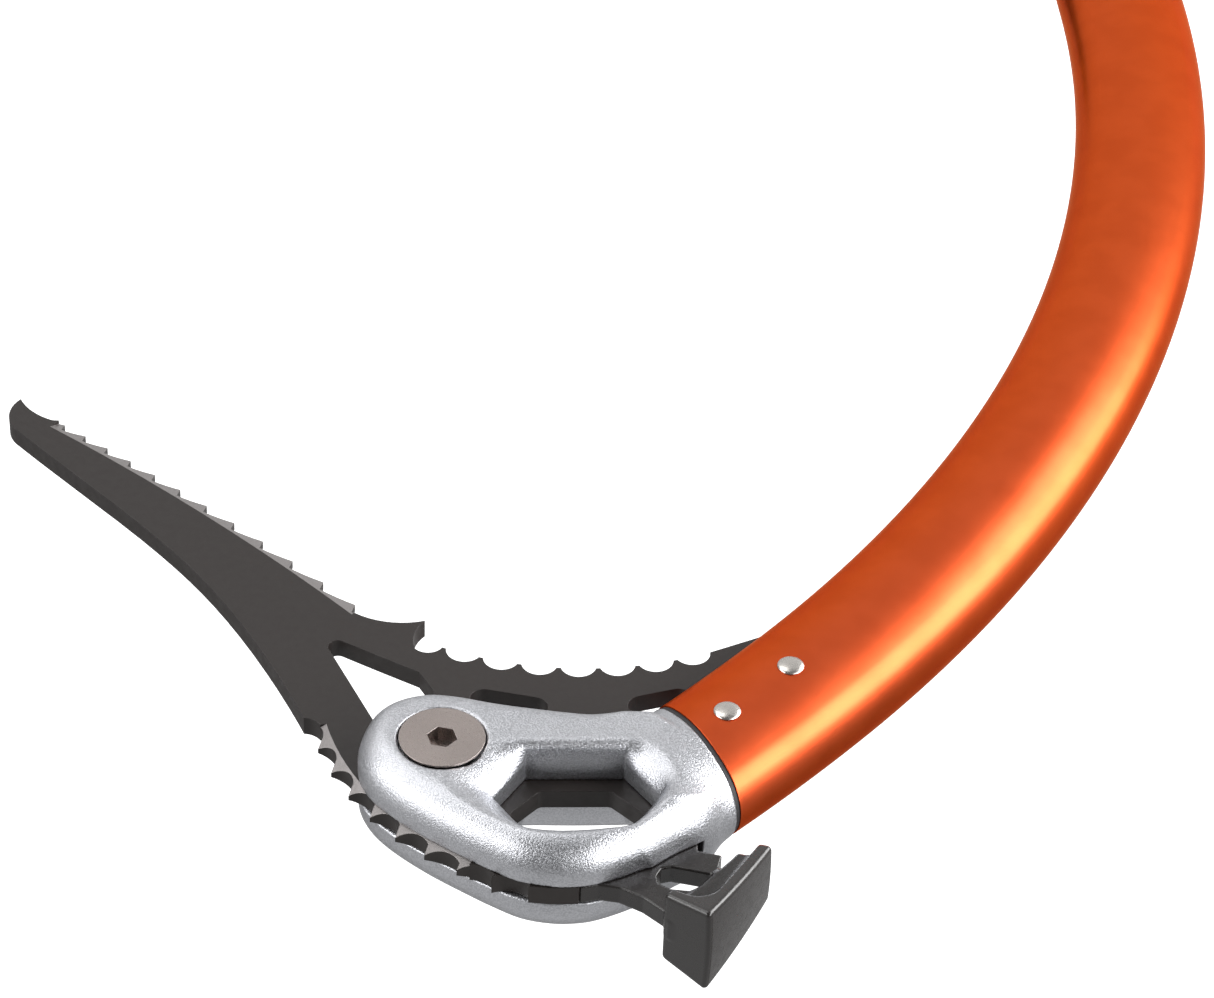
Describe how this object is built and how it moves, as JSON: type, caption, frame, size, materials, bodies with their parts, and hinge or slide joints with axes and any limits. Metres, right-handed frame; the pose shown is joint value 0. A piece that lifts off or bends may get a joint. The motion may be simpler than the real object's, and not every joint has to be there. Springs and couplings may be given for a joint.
{
  "type": "ice axe",
  "caption": "Technical ice axe: toothed steel pick and hammer bolted in a slotted head with a karabiner window, curved oval shaft, grip, sliding finger trigger and spike.",
  "frame": {"origin": "centre of the tether eye in the spike, in the axe's mid-plane", "axes": "+Z from the spike up to the head, along the axe's length; +X towards the pick; Y across the axe, along the tether eye"},
  "size_m": [0.2304, 0.0294, 0.5046],
  "materials": {
    "shaft_anodised": "satin orange anodising",
    "cast_aluminium": "bead-blasted satin",
    "plug_aluminium": "machined",
    "dark_steel": "matt dark coating, bright where ground",
    "spike_steel": "ground satin",
    "stainless": "turned satin",
    "bright_rivet": "bright",
    "dark_rubber": "matt",
    "grip_rubber": "matt",
    "liner_rubber": "matt",
    "hard_plastic": "fine satin grain"
  },
  "bodies": {
    "axe": {"shaft": "shaft_anodised", "head_gasket": "dark_rubber", "head": "cast_aluminium", "pick": "dark_steel", "hammer": "dark_steel", "pick_bolt": "stainless", "pick_nut": "stainless", "head_rivet_1": "bright_rivet", "head_rivet_2": "bright_rivet", "grip": "grip_rubber", "grip_collar": "hard_plastic", "hand_rest": "hard_plastic", "hand_rest_screw_left": "stainless", "hand_rest_screw_right": "stainless", "end_plug": "plug_aluminium", "spike": "spike_steel", "spike_rivet_1": "bright_rivet", "spike_rivet_2": "bright_rivet"},
    "trigger": {"trigger": "hard_plastic", "trigger_liner": "liner_rubber", "trigger_screw": "stainless", "trigger_nut": "stainless"}
  },
  "joints": [
    {"name": "trigger_slide", "type": "slide", "parent": "axe", "child": "trigger", "axis": [-0.2756, 0, 0.9613], "range_m": [0, 0.02]}
  ]
}
